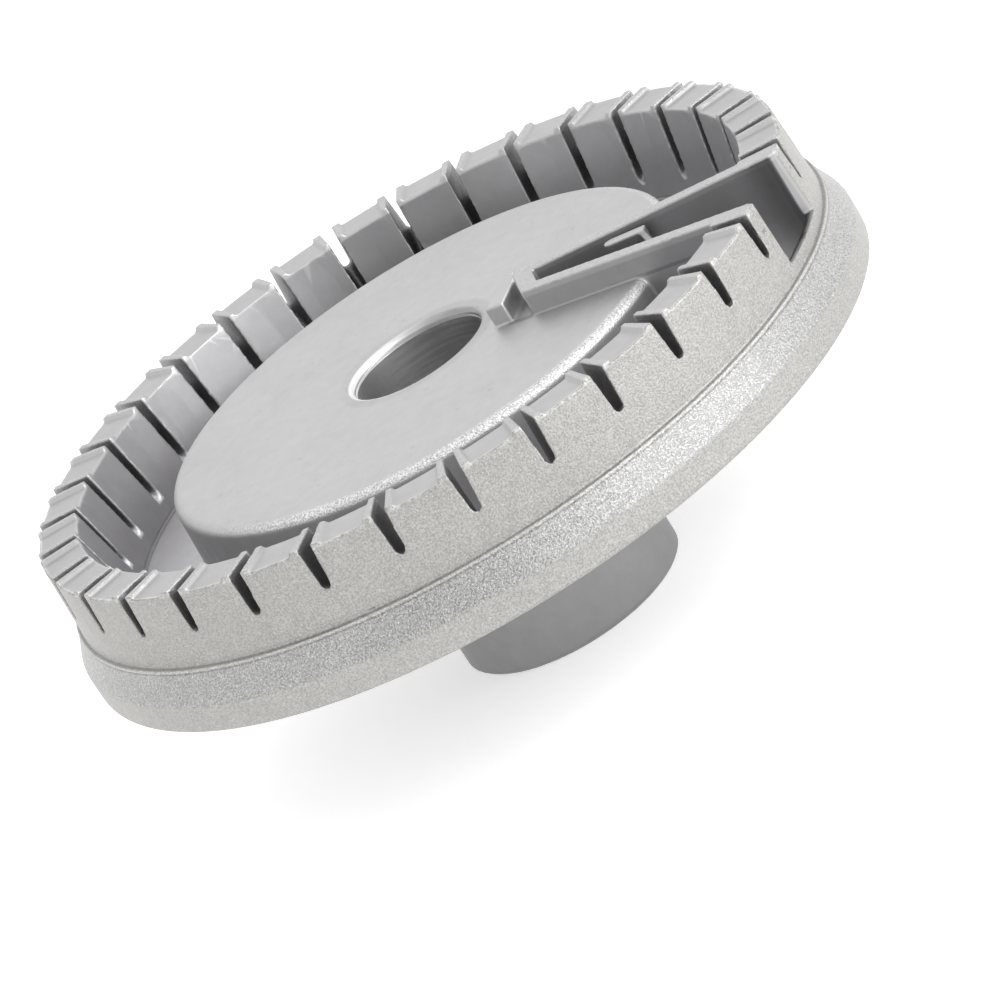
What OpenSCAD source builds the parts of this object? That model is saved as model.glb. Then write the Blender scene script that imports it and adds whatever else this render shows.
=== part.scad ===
// Gas burner base: the die-cast crown that spreads the flame of a large hob burner.
// One aluminium casting: feed tube, plateau, gas channel, slotted crown wall, electrode
// pocket and skirt. Z is the axis of the tube, the crown points up, and the origin is the
// centre of the tube's lower end. The electrode pocket points along +X.

/* [Feed tube] */
// Outside diameter of the tube
tube_d = 26.8; // [25:0.1:26.8]
// Length of tube that stands out below the skirt
tube_len = 20.8; // [14:0.2:30]
// Bore at the lower end, which drops over the injector holder
socket_d = 19.4; // [17.8:0.2:21]
// Depth of the straight part of that bore
socket_depth = 12; // [8:0.5:15]
// Bore at the upper end, where the mixture leaves
throat_d = 15.8; // [13:0.2:17.2]
// Length of the straight part at the upper end
throat_len = 9; // [6:0.5:12]
// Chamfer at the mouth of the socket
socket_chamfer = 0.8; // [0.4:0.1:1.2]
// Rounding at the mouth of the throat
throat_round = 0.7; // [0.3:0.1:1.2]
// Chamfer on the outer edge of the tube's end
tube_chamfer = 0.5; // [0.2:0.1:1]
// Diameter that the tube's drafted root widens to at the hub
root_d = 27.6; // [27.2:0.1:28.4]
// Height below the plate at which that root starts
root_h = 1; // [0.5:0.1:2]

/* [Plateau] */
// Diameter of the flat disc in the middle of the crown
plateau_d = 62; // [58:0.5:64]
// Thickness of that disc
plateau_t = 4.6; // [3.6:0.1:6]
// Radius of its rounded upper edge
plateau_round = 1.2; // [0.5:0.1:1.8]
// Draft of its side wall, outwards over the whole depth
plateau_draft = 0.4; // [0:0.1:0.8]
// Diameter of the recess below it
recess_d = 56.4; // [53:0.2:57.4]
// Diameter of the raised hub round the tube in that recess
hub_d = 36.6; // [34:0.2:39]
// How far the hub stands down from the disc
hub_h = 1; // [0.5:0.1:2]

/* [Gas channel] */
// Depth of the ring channel below the plateau
channel_depth = 7.8; // [7:0.1:8.6]
// Thickness of the channel's floor
floor_t = 3.7; // [3.1:0.1:4.2]

/* [Crown wall] */
// Outside diameter at the tips of the teeth
crown_tip_d = 92; // [91:0.1:92.6]
// Outside diameter at the foot of the wall, just above the bead
crown_foot_d = 92.9; // [92.6:0.1:93.5]
// Wall thickness at the tips
crown_t = 4.7; // [4:0.1:5.6]
// Draft of the inner face over its whole height
crown_draft = 2.1; // [1:0.1:2.4]
// Height of the tips above the plateau
tip_h = 3; // [2:0.1:4]
// Height of the tips above the bead
crown_h = 9.1; // [8.4:0.1:10]

/* [Skirt] */
// Outside diameter of the skirt
skirt_d = 96.9; // [96:0.1:99]
// Height of the skirt up to the bead
skirt_h = 7.1; // [6.4:0.1:8]
// Height of its straight lower band
band_h = 3.4; // [2.4:0.1:4.2]
// Rounding of its lower edge
skirt_round = 0.6; // [0.2:0.1:0.9]
// Diameter over the bead between skirt and crown wall
bead_d = 94; // [93.8:0.1:94.6]
// Height of the bead
bead_h = 0.3; // [0.2:0.05:0.8]
// Width of the flat lip at the bottom
lip_w = 1.1; // [1:0.1:1.6]
// Height of the step inside the lip
lip_step = 0.9; // [0.4:0.1:1.2]
// Width of the shelf inside that step
shelf_w = 2.2; // [1.6:0.1:2.6]
// Height of the groove between shelf and plate, from the shelf up
groove_h = 2.2; // [1.2:0.1:2.4]
// Diameter of the plate inside the groove
plate_d = 81.6; // [80:0.2:83]

/* [Flame ports] */
// Port positions round the crown, one of them taken by the electrode pocket
port_positions = 33; // [24:1:36]
// Width of a port at its floor
port_w = 1.05; // [0.8:0.05:1.3]
// Width of a port at the tips, at the outer face
port_top_w = 1.6; // [1.35:0.05:1.8]
// Width that it narrows to at the inner face
port_in_w = 1.25; // [1.2:0.05:1.5]
// Depth of the port floor below the plateau, at the outer face
port_drop = 2.1; // [1:0.1:2.6]
// Slope of the port floor, down towards the channel
port_slope = 30; // [20:1:34]
// Width of the shallow secondary port in the middle of each tooth
relief_w = 4.8; // [2.4:0.1:5]
// Depth of that secondary port
relief_h = 0.45; // [0.2:0.05:0.9]
// Slope of its two sides
relief_slope = 65; // [45:1:80]

/* [Electrode pocket] */
// Half angle between the two pocket walls
pocket_angle = 7.2; // [6:0.1:7.8]
// Distance of the pocket's narrow end from the axis
pocket_tip = 17; // [16.5:0.1:19]
// Width of the pocket at its narrow end
pocket_tip_w = 3.5; // [3:0.1:3.8]
// Slant of the narrow end and of the nose in front of it
pocket_slant = 25; // [0:1:30]
// Thickness of the nose
nose_t = 2.1; // [1.4:0.1:2.4]
// Thickness of the pocket walls
pocket_wall = 1.8; // [1.4:0.1:2]
// Reach of the pocket from the axis
pocket_reach = 45.5; // [44.6:0.1:45.6]
// Depth of the notch in the crown wall, below the plateau
notch_drop = 4.7; // [3.5:0.1:5.4]
// Width of the notch at the outer face
notch_w = 12.2; // [11.4:0.1:12.8]
// Depth of the notch's flare from the tips
notch_flare = 1.2; // [0.8:0.1:2]
// Distance from the axis to the outer face of the block next to the throat
block_x = 13.4; // [12.6:0.1:13.6]
// Length of that block
block_len = 2.2; // [1.4:0.1:2.8]
// Width of that block
block_w = 6; // [4.8:0.1:6.4]
// Shift of that block towards the side where it meets the nose
block_shift = 0.3; // [0.2:0.1:0.6]
// Height of that block above the plateau
block_h = 2.4; // [1.5:0.1:3]

/* [Electrode hook] */
// Distance of the arm's outer end from the axis
hook_x = 30.2; // [28:0.1:32]
// Thickness of the arm
hook_t = 1.4; // [1:0.1:1.8]
// Length of the arm, towards the axis
hook_len = 5; // [4:0.1:7]
// Distance of the arm's middle from the pocket's centre line
hook_offset = 1.4; // [0.8:0.1:1.6]
// Height of the hook
hook_h = 7; // [4:0.5:8]
// How far its top lies below the tips
hook_drop = 0.5; // [0.2:0.1:1.5]
// Thickness of the web from the arm's outer end to the pocket wall
web_t = 0.7; // [0.5:0.1:1.2]
// Slant of that web, outwards
web_slant = 30; // [10:1:40]
// How far the top of the web lies below the arm
web_drop = 0.3; // [0.1:0.1:1]

/* [Ribs below] */
// Thickness of the ribs on the wall of the recess
rib_t = 2.5; // [1.6:0.1:3]
// Distance of their inner ends from the axis
rib_start = 20; // [19:0.1:22]
// Thickness of the gussets on the tube
gusset_t = 2.4; // [1.6:0.1:3]
// Distance of their outer ends from the axis
gusset_end = 16.2; // [15.2:0.1:17.4]
// Height of the raised half of the plate
pad_h = 0.7; // [0.3:0.1:0.9]
// Angle where that half starts
pad_start = -100; // [-115:1:-92]
// Angle where it ends
pad_end = 60; // [52:1:80]
// Angle taken by the bridge from it to the rim
bridge_angle = 17; // [8:1:24]

/* [Hidden] */
$fn = 180;

// Levels, from the end of the tube up
rim_z = tube_len;
bead_z = rim_z + skirt_h;
tip_z = bead_z + crown_h;
plateau_z = tip_z - tip_h;
channel_z = plateau_z - channel_depth;
plate_z = channel_z - floor_t;
disc_z = plateau_z - plateau_t;
hub_z = disc_z - hub_h;
band_z = rim_z + band_h;
shelf_z = rim_z + lip_step;
groove_z = shelf_z + groove_h;
notch_z = plateau_z - notch_drop;
root_z = plate_z - root_h;
hook_top = tip_z - hook_drop;

// Radii
tube_r = tube_d / 2;
root_r = root_d / 2;
socket_r = socket_d / 2;
throat_r = throat_d / 2;
plateau_r = plateau_d / 2;
plateau_foot_r = plateau_r + plateau_draft;
recess_r = recess_d / 2;
plate_r = plate_d / 2;
tip_r = crown_tip_d / 2;
tip_in_r = tip_r - crown_t;
foot_in_r = tip_in_r - crown_draft;
foot_r = crown_foot_d / 2;
bead_r = bead_d / 2;
skirt_r = skirt_d / 2;
lip_r = skirt_r - lip_w;
shelf_r = lip_r - shelf_w;
groove_draft = groove_h / 2;

// Angle from one port to the next
port_pitch = 360 / port_positions;
// How far a cut runs past the face it opens
over = 1;
// How far the port cuts reach inwards past the crown wall
port_reach = 0.6;

// Points of a rounded corner of radius r round c, from angle a to angle b
function arc(c, r, a, b, steps = 6) =
    [for (i = [0 : steps]) let (t = a + (b - a) * i / steps) c + r * [cos(t), sin(t)]];

// Half width of the pocket at distance x from the axis
function pocket_half(x) = pocket_tip_w / 2 + (x - pocket_tip) * tan(pocket_angle);

// Section of the casting from the axis outwards, without the bore
module body_section() {
    polygon(concat(
        [[0, 0], [tube_r - tube_chamfer, 0], [tube_r, tube_chamfer], [tube_r, root_z],
         [root_r, hub_z], [hub_d / 2, hub_z], [hub_d / 2, disc_z],
         [recess_r, disc_z], [recess_r, plate_z],
         [plate_r, plate_z], [plate_r, groove_z], [shelf_r - groove_draft, groove_z],
         [shelf_r, shelf_z], [lip_r, shelf_z], [lip_r, rim_z]],
        arc([skirt_r - skirt_round, rim_z + skirt_round], skirt_round, -90, 0),
        [[skirt_r, band_z], [bead_r - bead_h / 2, bead_z - bead_h]],
        [[bead_r, bead_z - bead_h / 2], [bead_r - bead_h / 4, bead_z], [foot_r, bead_z]],
        [[tip_r, tip_z], [tip_in_r, tip_z], [foot_in_r, channel_z],
         [plateau_foot_r, channel_z]],
        arc([plateau_r - plateau_round, plateau_z - plateau_round], plateau_round, 0, 90),
        [[0, plateau_z]]));
}

// Bore of the tube: socket, cone and throat
module bore_section() {
    cone_z = plateau_z - throat_len;
    polygon(concat(
        [[0, -over], [socket_r + socket_chamfer + over, -over],
         [socket_r, socket_chamfer], [socket_r, socket_depth], [throat_r, cone_z]],
        arc([throat_r + throat_round, plateau_z - throat_round], throat_round, 180, 90),
        [[throat_r + throat_round, plateau_z + over], [0, plateau_z + over]]));
}

// Corner of a slanted end that crosses the centre line at x, where the half width is h,
// on side 1 or -1
function slant_corner(x, h, side) =
    let (y = h / (1 + side * tan(pocket_slant) * tan(pocket_angle)))
    [x - side * y * tan(pocket_slant), side * y];

// Plan of a wedge with the pocket's angle: its slanted end at x, grown by g, up to end_x
module wedge(x, g, end_x) {
    polygon([slant_corner(x, pocket_half(x) + g, -1), [end_x, -pocket_half(end_x) - g],
             [end_x, pocket_half(end_x) + g], slant_corner(x, pocket_half(x) + g, 1)]);
}

// Plan of the pocket with its walls, from the nose to the crown wall
module pocket_outline() {
    wedge(pocket_tip - nose_t / cos(pocket_slant), pocket_wall / cos(pocket_angle),
          tip_in_r + crown_t / 2);
}

// Plan of the open space between the pocket walls
module pocket_space(reach) {
    wedge(pocket_tip, 0, reach);
}

// Plan of the notch in the crown wall: the pocket's width, flared at the outer face
module notch_space() {
    flare_x = tip_r - notch_flare;
    out_x = skirt_r + over;
    polygon([[tip_in_r - over, -pocket_half(tip_in_r - over)],
             [flare_x, -pocket_half(flare_x)], [tip_r, -notch_w / 2], [out_x, -notch_w / 2],
             [out_x, notch_w / 2], [tip_r, notch_w / 2], [flare_x, pocket_half(flare_x)],
             [tip_in_r - over, pocket_half(tip_in_r - over)]]);
}

// Block on the plateau between the throat and the pocket's nose, which it meets on one side
module nose_block() {
    translate([block_x - block_len, block_shift - block_w / 2, plateau_z - plateau_t / 2])
        cube([block_len, block_w, plateau_t / 2 + block_h]);
}

// Hook in the pocket: an arm along it, and a slanted web from the arm to one pocket wall
module electrode_hook() {
    web_x = hook_x - web_t;
    web_y = hook_offset - hook_t / 4;
    web_len = (web_y + pocket_half(hook_x + pocket_wall) + pocket_wall) / cos(web_slant);
    translate([0, 0, hook_top - hook_h]) linear_extrude(hook_h)
        polygon(concat([[hook_x, hook_offset - hook_t / 2], [hook_x, hook_offset + hook_t / 2]],
            arc([hook_x - hook_len + hook_t / 2, hook_offset], hook_t / 2, 90, 270)));
    translate([web_x, web_y, hook_top - hook_h]) rotate(web_slant - 90)
        cube([web_len, web_t, hook_h - web_drop]);
}

// One flame port along +X: a slot with a sloping round floor, widened towards the tips and
// narrowed in plan towards the inner face
module flame_port() {
    wall = crown_t + crown_draft;
    depth = tip_h + port_drop;
    inward = wall / cos(port_slope) + over;
    rise = wall * sin(port_slope) + depth * cos(port_slope) + over;
    growth = (port_top_w - port_w) / 2 / (depth * cos(port_slope));
    top = port_w / 2 + growth * rise;
    start = foot_in_r - 2 * port_reach;
    taper = (port_top_w - port_in_w) / 2 / crown_t;
    start_w = port_in_w / 2 - taper * (tip_in_r - start);
    end_w = port_top_w / 2 + taper * crown_t;
    intersection() {
        translate([tip_r, 0, plateau_z - port_drop]) rotate([0, -port_slope, 0])
            rotate([90, 0, 90]) translate([0, 0, -inward]) linear_extrude(inward + 2 * crown_t)
                polygon(concat(arc([0, port_w / 2], port_w / 2, -180, 0),
                    [[top, rise], [-top, rise]]));
        translate([0, 0, channel_z - over]) linear_extrude(tip_z - channel_z + 2 * over)
            polygon([[start, -start_w], [tip_r + crown_t, -end_w], [tip_r + crown_t, end_w],
                     [start, start_w]]);
    }
}

// Shallow secondary port across the middle of a tooth, along +X
module tooth_relief() {
    spread = (relief_h + over) / tan(relief_slope);
    translate([tip_in_r - over, 0, tip_z]) rotate([90, 0, 90])
        linear_extrude(crown_t + 2 * over)
            polygon([[-relief_w / 2, -relief_h], [relief_w / 2, -relief_h],
                     [relief_w / 2 + spread, over], [-relief_w / 2 - spread, over]]);
}

// All ports and secondary ports, kept clear of the plateau and the pocket walls, with the
// pocket's position left out
module crown_ports() {
    difference() {
        for (k = [1 : port_positions - 1]) rotate(k * port_pitch) flame_port();
        translate([0, 0, channel_z]) cylinder(r = foot_in_r - port_reach, h = tip_z);
    }
    for (k = [1 : port_positions - 2]) rotate((k + 0.5) * port_pitch) tooth_relief();
}

// Rib on the wall of the recess below the plateau, at angle a
module recess_rib(a) {
    rotate(a) translate([rib_start, -rib_t / 2, plate_z])
        cube([recess_r - rib_start + over, rib_t, disc_z - plate_z + over]);
}

// Gusset on the tube, at angle a
module tube_gusset(a) {
    rotate(a) translate([tube_r - over, -gusset_t / 2, plate_z])
        cube([gusset_end - tube_r + over, gusset_t, hub_z - plate_z + over]);
}

// Ribs and gussets: six pairs evenly round the tube, and two ribs between them
module underside_ribs() {
    for (k = [0 : 5]) {
        recess_rib(30 + 60 * k);
        tube_gusset(30 + 60 * k);
    }
    for (a = [-60, 180]) recess_rib(a);
}

// Plan of a ring sector: radii r1 to r2, angles a1 to a2
module ring_sector(r1, r2, a1, a2) {
    steps = 6;
    reach = 1.2 * r2;
    intersection() {
        difference() {
            circle(r = r2);
            circle(r = r1);
        }
        polygon(concat([[0, 0]], [for (i = [0 : steps]) let (a = a1 + (a2 - a1) * i / steps)
            reach * [cos(a), sin(a)]]));
    }
}

// Raised half of the plate below the channel, and the bridge across the groove beside it
module plate_pad() {
    pad_z = plate_z - pad_h;
    inset = 0.2;
    bridge_margin = 1;
    bridge_end = pad_end - bridge_margin;
    translate([0, 0, pad_z]) linear_extrude(pad_h + over)
        ring_sector(recess_r + inset, plate_r - inset, pad_start, pad_end);
    translate([0, 0, pad_z]) linear_extrude(groove_z - pad_z + over)
        ring_sector(plate_r - over, shelf_r + lip_w / 2, bridge_end - bridge_angle, bridge_end);
}

// The whole casting
module burner_base() {
    color([0.78, 0.78, 0.77]) difference() {
        union() {
            rotate_extrude() body_section();
            translate([0, 0, channel_z - floor_t / 2])
                linear_extrude(tip_z - channel_z + floor_t / 2) pocket_outline();
            nose_block();
            underside_ribs();
            plate_pad();
        }
        rotate_extrude() bore_section();
        difference() {
            translate([0, 0, -over]) linear_extrude(tip_z + 2 * over) intersection() {
                pocket_space(skirt_r);
                circle(r = pocket_reach);
            }
            electrode_hook();
        }
        translate([0, 0, notch_z]) linear_extrude(tip_z - notch_z + over) notch_space();
        crown_ports();
    }
}

burner_base();
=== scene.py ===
import math

import bpy
from mathutils import Matrix, Vector


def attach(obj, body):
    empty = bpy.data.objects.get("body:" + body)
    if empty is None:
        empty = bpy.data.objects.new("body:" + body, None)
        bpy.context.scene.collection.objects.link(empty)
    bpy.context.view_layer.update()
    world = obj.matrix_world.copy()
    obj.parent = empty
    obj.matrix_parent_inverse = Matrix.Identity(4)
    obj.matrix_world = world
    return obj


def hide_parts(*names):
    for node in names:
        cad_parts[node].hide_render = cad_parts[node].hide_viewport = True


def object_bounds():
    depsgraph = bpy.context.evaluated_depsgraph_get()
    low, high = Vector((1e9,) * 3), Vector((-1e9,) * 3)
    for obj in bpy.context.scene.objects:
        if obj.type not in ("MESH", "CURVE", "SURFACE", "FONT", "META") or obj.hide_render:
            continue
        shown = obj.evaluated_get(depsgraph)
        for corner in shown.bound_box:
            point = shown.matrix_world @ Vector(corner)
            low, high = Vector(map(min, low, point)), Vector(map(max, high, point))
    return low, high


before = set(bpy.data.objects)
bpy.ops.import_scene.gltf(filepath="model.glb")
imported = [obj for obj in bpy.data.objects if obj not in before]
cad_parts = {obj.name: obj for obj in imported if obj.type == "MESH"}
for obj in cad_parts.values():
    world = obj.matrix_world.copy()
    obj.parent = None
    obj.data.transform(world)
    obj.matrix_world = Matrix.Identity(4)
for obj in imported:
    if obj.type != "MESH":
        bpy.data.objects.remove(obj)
cad_lo, cad_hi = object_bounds()

MM = 0.001

# Camera, fitted to the photograph: a long lens, rolled
PHOTO_PX = 1001
FOCAL_PX = 5231.2
SENSOR_MM = 36.0
CAMERA_POS = Vector((0.25430, -0.46797, 0.21282))
CAMERA_RIGHT = Vector((0.82908, 0.23767, -0.50611))
CAMERA_DOWN = Vector((-0.33342, -0.51647, -0.78873))

# Heights and radii of the casting that its finish follows, from the CAD box
TIP_Z = cad_hi.z
SKIRT_R = (cad_hi.y - cad_lo.y) / 2
TIP_R = SKIRT_R - 2.4 * MM
OUTER_DRAFT = 0.45 / 9.1
TIP_IN_R = TIP_R - 4.7 * MM
INNER_DRAFT = 2.1 / 10.8
BEAD_Z = TIP_Z - 9.1 * MM
SKIRT_Z = TIP_Z - 16.2 * MM
PLATEAU_Z = TIP_Z - 3.0 * MM
CHANNEL_Z = TIP_Z - 10.8 * MM
RELIEF_H = 0.45 * MM
PORT_END_Z = TIP_Z - 8.6 * MM
PLATEAU_R = 31.0 * MM
BORE_R = 8.6 * MM
TUBE_R = 13.4 * MM
PORTS = 33
PORT_HALF = 0.8 * MM
PORT_TAPER = 0.032
POCKET_TIP = 17.0 * MM
POCKET_HALF = 1.75 * MM
POCKET_GROWTH = math.tan(math.radians(7.2))
POCKET_WALL = 1.8 * MM
NOSE_T = 2.1 * MM
BLOCK_X = 13.4 * MM
PIN_ANGLES = (-85, -152, -179)
PIN_CIRCLE = 34.5 * MM
PIN_R = 3.5 * MM

# Rounding of the cast edges
VOXEL = 0.16 * MM
SMOOTH_ROUNDS = 2
TRIANGLES = 190000


def make_camera():
    data = bpy.data.cameras.new("camera")
    data.sensor_width = SENSOR_MM
    data.lens = FOCAL_PX / PHOTO_PX * SENSOR_MM
    data.clip_start, data.clip_end = 0.02, 20
    cam = bpy.data.objects.new("camera", data)
    bpy.context.collection.objects.link(cam)
    right = CAMERA_RIGHT.normalized()
    up = -CAMERA_DOWN.normalized()
    back = right.cross(up).normalized()
    up = back.cross(right)
    rot = Matrix((right, up, back)).transposed()
    cam.matrix_world = Matrix.Translation(CAMERA_POS) @ rot.to_4x4()
    bpy.context.scene.camera = cam
    return cam


def softbox(name, azimuth, elevation, distance, size, power):
    """Round area light that looks at the casting from the given direction."""
    data = bpy.data.lights.new(name, "AREA")
    data.shape = "DISK"
    data.size = size
    data.energy = power
    ob = bpy.data.objects.new(name, data)
    bpy.context.collection.objects.link(ob)
    flat = math.cos(math.radians(elevation))
    away = Vector((flat * math.cos(math.radians(azimuth)), flat * math.sin(math.radians(azimuth)),
                   math.sin(math.radians(elevation))))
    ob.location = away * distance + Vector((0, 0, TIP_Z))
    ob.rotation_mode = "QUATERNION"
    ob.rotation_quaternion = away.to_track_quat("Z", "Y")
    ob.visible_camera = False
    return ob


def make_world():
    world = bpy.data.worlds.new("studio")
    bpy.context.scene.world = world
    world.use_nodes = True
    nt = world.node_tree
    nt.nodes.clear()
    out = nt.nodes.new("ShaderNodeOutputWorld")
    bg = nt.nodes.new("ShaderNodeBackground")
    bg.inputs["Color"].default_value = (1, 1, 1, 1)
    bg.inputs["Strength"].default_value = 1.0
    nt.links.new(bg.outputs[0], out.inputs[0])


class Shader:
    """Node tree of one material. Every value given to it is a number or a socket."""

    def __init__(self, name):
        self.mat = bpy.data.materials.new(name)
        self.mat.use_nodes = True
        self.tree = self.mat.node_tree
        self.bsdf = self.tree.nodes["Principled BSDF"]

    def put(self, socket, value):
        if isinstance(value, bpy.types.NodeSocket):
            self.tree.links.new(value, socket)
        else:
            socket.default_value = value

    def node(self, kind, **settings):
        made = self.tree.nodes.new(kind)
        for key, value in settings.items():
            setattr(made, key, value)
        return made

    def math(self, op, a, b=0.0):
        made = self.node("ShaderNodeMath", operation=op)
        self.put(made.inputs[0], a)
        self.put(made.inputs[1], b)
        return made.outputs[0]

    def add(self, a, b):
        return self.math("ADD", a, b)

    def times(self, first, *others):
        for other in others:
            first = self.math("MULTIPLY", first, other)
        return first

    def ramp(self, value, start, end, low=0.0, high=1.0):
        """Smooth step of value from low at start to high at end; start may lie above end."""
        made = self.node("ShaderNodeMapRange", interpolation_type="SMOOTHSTEP")
        for key, item in (("Value", value), ("From Min", start), ("From Max", end),
                          ("To Min", low), ("To Max", high)):
            self.put(made.inputs[key], item)
        return made.outputs["Result"]

    def noise(self, vector, size, detail=2.0, rough=0.5):
        """Noise with blobs of about the given size in metres, 0 to 1."""
        made = self.node("ShaderNodeTexNoise")
        self.put(made.inputs["Vector"], vector)
        self.put(made.inputs["Scale"], 1 / size)
        self.put(made.inputs["Detail"], detail)
        self.put(made.inputs["Roughness"], rough)
        return made.outputs["Fac"]

    def vector(self, x, y, z):
        made = self.node("ShaderNodeCombineXYZ")
        for socket, item in zip(made.inputs, (x, y, z)):
            self.put(socket, item)
        return made.outputs[0]

    def blend(self, factor, a, b):
        made = self.node("ShaderNodeMix", data_type="RGBA")
        self.put(made.inputs[0], factor)
        self.put(made.inputs[6], a)
        self.put(made.inputs[7], b)
        return made.outputs[2]

    def bump(self, height, distance, normal=None):
        made = self.node("ShaderNodeBump")
        self.put(made.inputs["Height"], height)
        self.put(made.inputs["Distance"], distance)
        if normal is not None:
            self.put(made.inputs["Normal"], normal)
        return made.outputs[0]


def make_floor():
    size = 6.0
    glow = 0.45
    mesh = bpy.data.meshes.new("floor")
    z = cad_lo.z - 0.02 * MM
    mesh.from_pydata([(-size, -size, z), (size, -size, z), (size, size, z), (-size, size, z)],
                     [], [(0, 1, 2, 3)])
    ob = bpy.data.objects.new("floor", mesh)
    bpy.context.collection.objects.link(ob)
    sh = Shader("floor")
    paths = sh.node("ShaderNodeLightPath").outputs
    seen = sh.math("MAXIMUM", paths["Is Camera Ray"], paths["Is Glossy Ray"])
    seen = sh.math("MAXIMUM", seen, paths["Is Transmission Ray"])
    sh.put(sh.bsdf.inputs["Base Color"], (0.9, 0.9, 0.9, 1))
    sh.put(sh.bsdf.inputs["Roughness"], 1.0)
    sh.put(sh.bsdf.inputs["Specular IOR Level"], 0.0)
    sh.put(sh.bsdf.inputs["Emission Color"], (1, 1, 1, 1))
    sh.put(sh.bsdf.inputs["Emission Strength"], sh.times(seen, glow))
    clear = sh.node("ShaderNodeBsdfTransparent")
    mix = sh.node("ShaderNodeMixShader")
    sh.put(mix.inputs[0], sh.node("ShaderNodeNewGeometry").outputs["Backfacing"])
    sh.put(mix.inputs[1], sh.bsdf.outputs[0])
    sh.put(mix.inputs[2], clear.outputs[0])
    sh.put(sh.tree.nodes["Material Output"].inputs[0], mix.outputs[0])
    mesh.materials.append(sh.mat)
    return ob


def baked(ob):
    """Mesh of the object with its modifiers applied."""
    graph = bpy.context.evaluated_depsgraph_get()
    mesh = bpy.data.meshes.new_from_object(ob.evaluated_get(graph))
    ob.modifiers.clear()
    ob.data = mesh
    return mesh


def cast_body(node):
    """Copy of the casting with the small rounding that every cast edge has."""
    piece = bpy.data.objects.new("cast_burner_base", node.data.copy())
    piece.matrix_world = node.matrix_world
    bpy.context.collection.objects.link(piece)
    remesh = piece.modifiers.new("remesh", "REMESH")
    remesh.mode = "VOXEL"
    remesh.voxel_size = VOXEL
    soften = piece.modifiers.new("soften", "SMOOTH")
    soften.factor = 0.5
    soften.iterations = SMOOTH_ROUNDS
    mesh = baked(piece)
    triangles = sum(len(p.vertices) - 2 for p in mesh.polygons)
    thin = piece.modifiers.new("thin", "DECIMATE")
    thin.ratio = TRIANGLES / triangles
    mesh = baked(piece)
    mesh.shade_smooth()
    weigh = piece.modifiers.new("weigh", "WEIGHTED_NORMAL")
    weigh.mode = "FACE_AREA"
    weigh.weight = 70
    mesh = baked(piece)
    print("triangles", triangles, sum(len(p.vertices) - 2 for p in mesh.polygons))
    return piece


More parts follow.
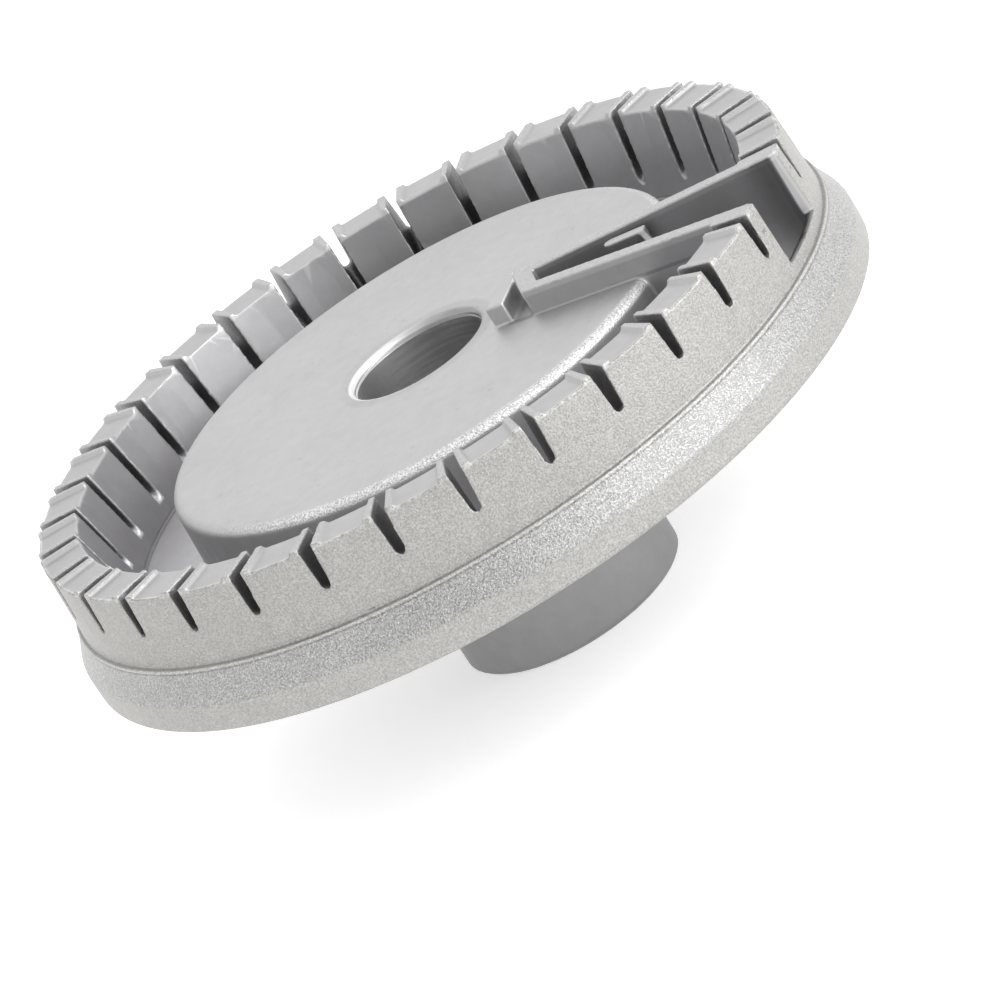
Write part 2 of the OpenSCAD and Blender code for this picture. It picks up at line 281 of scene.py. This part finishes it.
def cast_aluminium():
    """Die-cast aluminium: sandy outside, smooth inside, turned bore, with painted shade in the
    ports, pocket and creases and painted highlights.
    """
    sh = Shader("cast_aluminium")
    pos = sh.node("ShaderNodeTexCoord").outputs["Object"]
    split = sh.node("ShaderNodeSeparateXYZ")
    sh.put(split.inputs[0], pos)
    x, y, z = split.outputs
    r = sh.math("SQRT", sh.add(sh.times(x, x), sh.times(y, y)))
    angle = sh.math("ARCTAN2", y, x)
    below_tip = sh.math("SUBTRACT", TIP_Z, z)

    # Where a point lies: distance past the outer and the inner face of the crown wall
    past_outer = sh.math("SUBTRACT", r, sh.add(sh.times(below_tip, OUTER_DRAFT), TIP_R))
    past_inner = sh.math("SUBTRACT", sh.math("SUBTRACT", TIP_IN_R,
                                             sh.times(below_tip, INNER_DRAFT)), r)
    outside = sh.ramp(past_outer, -0.3 * MM, -0.1 * MM)
    top = sh.ramp(below_tip, 0.12 * MM, 0.03 * MM)
    plateau = sh.times(sh.ramp(r, PLATEAU_R + 0.3 * MM, PLATEAU_R),
                       sh.ramp(z, PLATEAU_Z - 0.3 * MM, PLATEAU_Z - 0.05 * MM))
    bore = sh.times(sh.ramp(r, BORE_R, BORE_R - 0.4 * MM), 1.0)
    cone = sh.times(outside, sh.ramp(z, BEAD_Z, BEAD_Z - 0.3 * MM),
                    sh.ramp(z, SKIRT_Z + 3.2 * MM, SKIRT_Z + 3.5 * MM))

    # Ports: distance from the middle plane of the nearest one
    turn = sh.math("DIVIDE", angle, 2 * math.pi / PORTS)
    part = sh.math("ABSOLUTE", sh.math("SUBTRACT", turn, sh.math("ROUND", turn)))
    from_port = sh.times(part, r, 2 * math.pi / PORTS)
    half = sh.math("SUBTRACT", PORT_HALF, sh.times(sh.math("SUBTRACT", TIP_R, r), PORT_TAPER))
    # Inside of each port; its darkening below is painted shade of the deep slots
    shaded_port = sh.times(sh.ramp(sh.math("SUBTRACT", from_port, half), 0.1 * MM, -0.02 * MM),
                    sh.ramp(past_outer, -0.05 * MM, -0.25 * MM),
                    sh.ramp(past_inner, -0.05 * MM, -0.3 * MM),
                    sh.ramp(below_tip, 0.05 * MM, 0.15 * MM),
                    sh.ramp(z, SKIRT_Z + 5.6 * MM, SKIRT_Z + 6.2 * MM))

    # Inside of the electrode pocket, painted darker as shade
    pocket_edge = sh.add(sh.times(sh.math("SUBTRACT", x, POCKET_TIP), POCKET_GROWTH), POCKET_HALF)
    past_pocket = sh.math("SUBTRACT", sh.math("ABSOLUTE", y), pocket_edge)
    shaded_pocket = sh.times(sh.ramp(past_pocket, 0.12 * MM, 0.02 * MM),
                      sh.ramp(x, POCKET_TIP - 1.5 * MM, POCKET_TIP),
                      sh.ramp(past_outer, -0.3 * MM, -0.6 * MM),
                      sh.ramp(below_tip, 0.15 * MM, 0.35 * MM))
    hook_top = sh.times(sh.ramp(past_pocket, -0.2 * MM, -0.4 * MM),
                        sh.ramp(below_tip, 0.62 * MM, 0.52 * MM))
    shaded_pocket = sh.times(shaded_pocket, sh.math("SUBTRACT", 1.0, hook_top))
    round_pocket = sh.times(sh.ramp(past_pocket, POCKET_WALL + 0.4 * MM, POCKET_WALL + 0.2 * MM),
                            sh.ramp(x, POCKET_TIP - NOSE_T - 2.5 * MM,
                                    POCKET_TIP - NOSE_T - 1.5 * MM))

    # Grain
    sand = sh.ramp(sh.noise(pos, 0.22 * MM, 2.0, 0.65), 0.32, 0.68)
    fine = sh.noise(pos, 0.17 * MM, 1.0, 0.6)
    mottle = sh.noise(pos, 1.6 * MM, 3.0, 0.65)
    cloud = sh.noise(pos, 9.0 * MM, 2.0, 0.5)
    rough_skin = sh.math("MAXIMUM", outside, sh.times(top, 0.7))
    # Rim of the plateau: sandy grain, and a painted highlight that is strongest on the +x side
    rim_grain_and_highlight = sh.times(sh.ramp(r, PLATEAU_R - 1.3 * MM, PLATEAU_R - 0.5 * MM),
                   sh.ramp(r, PLATEAU_R + 0.25 * MM, PLATEAU_R + 0.1 * MM),
                   sh.ramp(z, PLATEAU_Z - 1.2 * MM, PLATEAU_Z - 0.6 * MM),
                   sh.ramp(round_pocket, 0.5, 0.0), sh.ramp(x, -22.0 * MM, -4.0 * MM, 0.15))
    mouth = sh.times(sh.ramp(r, BORE_R + 0.5 * MM, BORE_R - 0.2 * MM),
                     sh.ramp(z, PLATEAU_Z - 1.2 * MM, PLATEAU_Z - 0.3 * MM))
    grainy = sh.math("MAXIMUM", sh.math("MAXIMUM", cone, rim_grain_and_highlight), sh.times(outside, 0.45))
    sparkle = sh.times(sh.ramp(fine, 0.58, 0.72), grainy)

    # Brightness of each region
    wall = sh.times(outside, sh.ramp(z, BEAD_Z, BEAD_Z + 0.3 * MM))
    band = sh.times(outside, sh.ramp(z, SKIRT_Z + 3.6 * MM, SKIRT_Z + 3.2 * MM))
    above = sh.times(round_pocket, sh.ramp(z, PLATEAU_Z + 0.1 * MM, PLATEAU_Z + 0.4 * MM),
                     sh.ramp(x, BLOCK_X, BLOCK_X + 0.3 * MM))
    # Inner walls of the channel: darker, partly their own purplish tone, partly painted shade
    inner = sh.times(sh.math("MAXIMUM", above,
                             sh.ramp(r, PLATEAU_R - 0.2 * MM, PLATEAU_R + 0.6 * MM)),
                     sh.ramp(past_outer, -0.4 * MM, -0.6 * MM),
                     sh.ramp(below_tip, 0.6 * MM, 0.9 * MM),
                     sh.ramp(z, CHANNEL_Z - 1.5 * MM, CHANNEL_Z - 0.5 * MM))
    # Tube below the skirt: darker, partly its smoother darker metal, partly painted shade under
    # the skirt
    tube = sh.times(sh.ramp(r, TUBE_R + 1.2 * MM, TUBE_R + 0.6 * MM),
                    sh.ramp(r, TUBE_R - 0.7 * MM, TUBE_R - 0.4 * MM),
                    sh.ramp(z, SKIRT_Z + 3.0 * MM, SKIRT_Z + 1.5 * MM))
    value = sh.add(0.53, sh.times(sh.math("SUBTRACT", mottle, 0.5), 0.09))
    value = sh.times(value, sh.add(1.0, sh.times(sh.math("SUBTRACT", cloud, 0.5), 0.10)))
    sandy = sh.add(sh.times(rough_skin, 0.42), sh.times(cone, 0.14))
    sandy = sh.add(sandy, sh.add(sh.times(rim_grain_and_highlight, 0.7), sh.times(shaded_port, 0.35)))
    value = sh.times(value, sh.add(1.0, sh.times(sh.math("SUBTRACT", sand, 0.5), sandy)))
    marks = sh.times(sh.ramp(sh.noise(pos, 0.9 * MM, 2.0, 0.6), 0.62, 0.72),
                     sh.ramp(sh.noise(pos, 7.0 * MM, 1.0, 0.5), 0.5, 0.62), plateau)
    turned = sh.noise(sh.vector(sh.times(x, 0.05), sh.times(y, 0.05), z), 0.45 * MM, 3.0, 0.7)
    streak = sh.times(bore, sh.ramp(turned, 0.35, 0.65))
    flare = sh.times(sh.ramp(r, TIP_R - 1.6 * MM, TIP_R - 1.3 * MM), sh.ramp(x, 0.0, POCKET_TIP),
                     sh.ramp(past_outer, -0.05 * MM, -0.2 * MM),
                     sh.ramp(past_pocket, 0.9 * MM, 0.75 * MM),
                     sh.ramp(below_tip, 0.1 * MM, 0.3 * MM))
    # Painted shade, darker towards the outer end of the pocket
    deep_pocket_shade = sh.times(shaded_pocket, sh.ramp(x, TIP_R - 6.0 * MM, TIP_R - 2.0 * MM))
    # Painted light: the bore lighter towards its -x side
    across = sh.add(sh.times(x, 0.96), sh.times(y, 0.28))
    bore_left_light = sh.times(bore, sh.ramp(across, 2.0 * MM, -6.0 * MM))
    # Painted light on the right of the cone and painted shade on its front
    cone_right_light = sh.times(cone, sh.ramp(angle, math.radians(-62), math.radians(-46)),
                          sh.ramp(angle, math.radians(-12), math.radians(-32)))
    cone_front_shade = sh.times(cone, sh.ramp(angle, math.radians(-92), math.radians(-78)),
                          sh.ramp(angle, math.radians(-58), math.radians(-70)))
    # Painted shade on the inner wall of the far side, azimuth 84° to 134°
    far_side_shade = sh.times(inner, sh.ramp(angle, math.radians(134), math.radians(114)),
                        sh.ramp(angle, math.radians(84), math.radians(102)))
    # Painted light on the side faces of the block
    block_side_light = sh.times(sh.ramp(sh.math("ABSOLUTE", sh.math("SUBTRACT", x, BLOCK_X)),
                                  0.25 * MM, 0.1 * MM),
                          sh.ramp(z, PLATEAU_Z, PLATEAU_Z + 0.2 * MM), round_pocket)
    # Painted light on the floor of the channel, lighter than the walls around it
    floor = sh.times(sh.ramp(r, PLATEAU_R + 0.3 * MM, PLATEAU_R + 0.6 * MM),
                     sh.ramp(z, CHANNEL_Z + 0.3 * MM, CHANNEL_Z + 0.1 * MM),
                     sh.ramp(z, CHANNEL_Z - 1.0 * MM, CHANNEL_Z - 0.5 * MM),
                     sh.ramp(past_inner, 0.2 * MM, 0.5 * MM))
    # Painted glints at the lower ends of the ports on the -x side
    painted_glint = sh.times(sh.ramp(past_inner, -1.6 * MM, -1.1 * MM),
                     sh.ramp(past_inner, 0.3 * MM, 0.1 * MM),
                     sh.ramp(from_port, PORT_HALF, PORT_HALF - 0.2 * MM),
                     sh.ramp(x, -28.0 * MM, -34.0 * MM),
                     sh.ramp(z, PORT_END_Z + 1.0 * MM, PORT_END_Z + 0.5 * MM),
                     sh.ramp(z, PORT_END_Z - 0.6 * MM, PORT_END_Z - 0.2 * MM))
    # Painted shade on the floor of the shallow relief in each tooth top
    relief_shade = sh.times(sh.ramp(past_outer, -0.3 * MM, -0.6 * MM),
                      sh.ramp(past_inner, -0.1 * MM, -0.3 * MM),
                      sh.ramp(below_tip, RELIEF_H - 0.15 * MM, RELIEF_H - 0.05 * MM),
                      sh.ramp(below_tip, RELIEF_H + 0.15 * MM, RELIEF_H + 0.05 * MM))
    # Each mask scales the brightness by its share. Painted shade: the ports, the pocket and its
    # deep end, the far inner wall, the front of the cone, the tooth-top relief, and part of the
    # inner walls and tube. Painted light: the right of the cone, the channel floor, the bore's -x
    # side, the plateau rim, the block sides and the port ends.
    for mask, share in ((wall, -0.26), (cone, -0.18), (band, -0.23), (tube, -0.42),
                        (shaded_port, -0.34), (shaded_pocket, -0.22), (deep_pocket_shade, -0.55), (inner, -0.18),
                        (far_side_shade, -0.28), (cone_right_light, 0.17), (cone_front_shade, -0.10),
                        (relief_shade, -0.07), (floor, 0.5), (bore, -0.31),
                        (streak, 0.3), (bore_left_light, 1.5),
                        (marks, -0.12), (rim_grain_and_highlight, 0.35), (mouth, -0.05), (block_side_light, 0.5),
                        (painted_glint, 1.4), (flare, -0.18)):
        value = sh.times(value, sh.add(1.0, sh.times(mask, share)))
    value = sh.add(value, sh.times(sparkle, 0.26))
    # Outer top edge of the teeth lighter in patches: partly worn chips, partly painted highlight
    lip_wear_and_highlight = sh.times(sh.ramp(past_outer, -0.45 * MM, -0.25 * MM),
                   sh.ramp(below_tip, RELIEF_H + 0.25 * MM, RELIEF_H + 0.1 * MM))
    chip_and_highlight_noise = sh.ramp(sh.noise(pos, 0.8 * MM, 2.0, 0.6), 0.35, 0.6)
    value = sh.times(value, sh.add(1.0, sh.times(lip_wear_and_highlight, sh.add(0.03, sh.times(chip_and_highlight_noise, 0.30)))))
    # Painted shade in the creases at the foot of the pocket wall and of the channel wall
    plateau_foot_shade = sh.times(round_pocket, sh.ramp(z, PLATEAU_Z + 0.45 * MM, PLATEAU_Z + 0.25 * MM),
                            sh.ramp(z, PLATEAU_Z - 0.08 * MM, PLATEAU_Z - 0.03 * MM),
                            sh.ramp(past_pocket, POCKET_WALL - 0.6 * MM, POCKET_WALL - 0.4 * MM))
    channel_foot_shade = sh.times(sh.ramp(past_inner, -0.4 * MM, -0.2 * MM),
                            sh.ramp(past_inner, 0.55 * MM, 0.3 * MM),
                            sh.ramp(z, CHANNEL_Z + 0.45 * MM, CHANNEL_Z + 0.25 * MM),
                            sh.ramp(z, CHANNEL_Z - 1.0 * MM, CHANNEL_Z - 0.5 * MM))
    for mask, share in ((plateau_foot_shade, -0.3), (channel_foot_shade, -0.3)):
        value = sh.times(value, sh.add(1.0, sh.times(mask, share)))

    # Round marks that the ejector pins leave on the underside
    below = sh.ramp(z, CHANNEL_Z - 2.5 * MM, CHANNEL_Z - 3.0 * MM)
    pins = 0.0
    for turn_deg in PIN_ANGLES:
        pin_x = PIN_CIRCLE * math.cos(math.radians(turn_deg))
        pin_y = PIN_CIRCLE * math.sin(math.radians(turn_deg))
        dx, dy = sh.math("SUBTRACT", x, pin_x), sh.math("SUBTRACT", y, pin_y)
        away = sh.math("SQRT", sh.add(sh.times(dx, dx), sh.times(dy, dy)))
        pins = sh.math("MAXIMUM", pins, sh.ramp(away, PIN_R + 0.1 * MM, PIN_R - 0.1 * MM))
    pins = sh.times(pins, below)
    value = sh.times(value, sh.add(1.0, sh.times(pins, 0.04)))

    # Bead: a painted highlight line between two painted shade lines
    bead_top_shade = sh.times(outside, sh.ramp(z, BEAD_Z - 0.05 * MM, BEAD_Z + 0.02 * MM),
                        sh.ramp(z, BEAD_Z + 0.22 * MM, BEAD_Z + 0.10 * MM))
    bead_foot_shade = sh.times(outside, sh.ramp(z, BEAD_Z - 0.58 * MM, BEAD_Z - 0.48 * MM),
                         sh.ramp(z, BEAD_Z - 0.30 * MM, BEAD_Z - 0.38 * MM))
    bead_highlight = sh.times(outside, sh.ramp(z, BEAD_Z - 0.34 * MM, BEAD_Z - 0.26 * MM),
                    sh.ramp(z, BEAD_Z + 0.0 * MM, BEAD_Z - 0.06 * MM))
    for mask, share in ((bead_top_shade, -0.4), (bead_foot_shade, -0.3), (bead_highlight, 0.08)):
        value = sh.times(value, sh.add(1.0, sh.times(mask, share)))
    value = sh.math("MINIMUM", value, 0.95)

    tint = sh.blend(outside, (1.0, 1.0, 1.0, 1), (1.013, 1.002, 0.968, 1))
    tint = sh.blend(cone, tint, (1.0, 0.995, 0.99, 1))
    tint = sh.blend(sh.math("MAXIMUM", inner, shaded_pocket), tint, (1.0, 0.988, 1.008, 1))
    tinted = sh.node("ShaderNodeVectorMath", operation="SCALE")
    sh.put(tinted.inputs[0], tint)
    sh.put(tinted.inputs["Scale"], value)
    sh.put(sh.bsdf.inputs["Base Color"], tinted.outputs[0])
    sh.put(sh.bsdf.inputs["Metallic"], 1.0)
    roughness = sh.math("SUBTRACT", 0.5, sh.times(cone, 0.08))
    roughness = sh.add(roughness, sh.times(sh.math("SUBTRACT", sand, 0.5), rough_skin, 0.15))
    roughness = sh.math("SUBTRACT", roughness, sh.times(bore, 0.14))
    sh.put(sh.bsdf.inputs["Roughness"], roughness)

    skin = sh.add(sh.times(sand, sh.math("MAXIMUM", rough_skin, rim_grain_and_highlight), 0.030 * MM),
                  sh.times(sand, cone, 0.035 * MM))
    skin = sh.add(skin, sh.times(fine, 0.006 * MM))
    skin = sh.add(skin, sh.times(turned, bore, 0.03 * MM))
    mouth_round = sh.times(sh.ramp(r, BORE_R + 1.4 * MM, BORE_R - 0.3 * MM),
                           sh.ramp(z, PLATEAU_Z - 1.0 * MM, PLATEAU_Z - 0.7 * MM))
    skin = sh.math("SUBTRACT", skin, sh.times(mouth_round, 0.45 * MM))
    skin = sh.math("SUBTRACT", skin, sh.times(pins, 0.06 * MM))
    normal = sh.bump(skin, 1.0)
    sh.put(sh.bsdf.inputs["Normal"], normal)
    return sh.mat


bpy.context.scene.view_settings.view_transform = "Standard"
make_camera()
make_world()
softbox("key", -4, 26, 0.7, 0.42, 2.4)
softbox("back", 115, 35, 0.8, 0.6, 0.25)
make_floor()
piece = cast_body(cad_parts["burner_base"])
piece.data.materials.clear()
piece.data.materials.append(cast_aluminium())
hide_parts("burner_base")
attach(piece, "root")
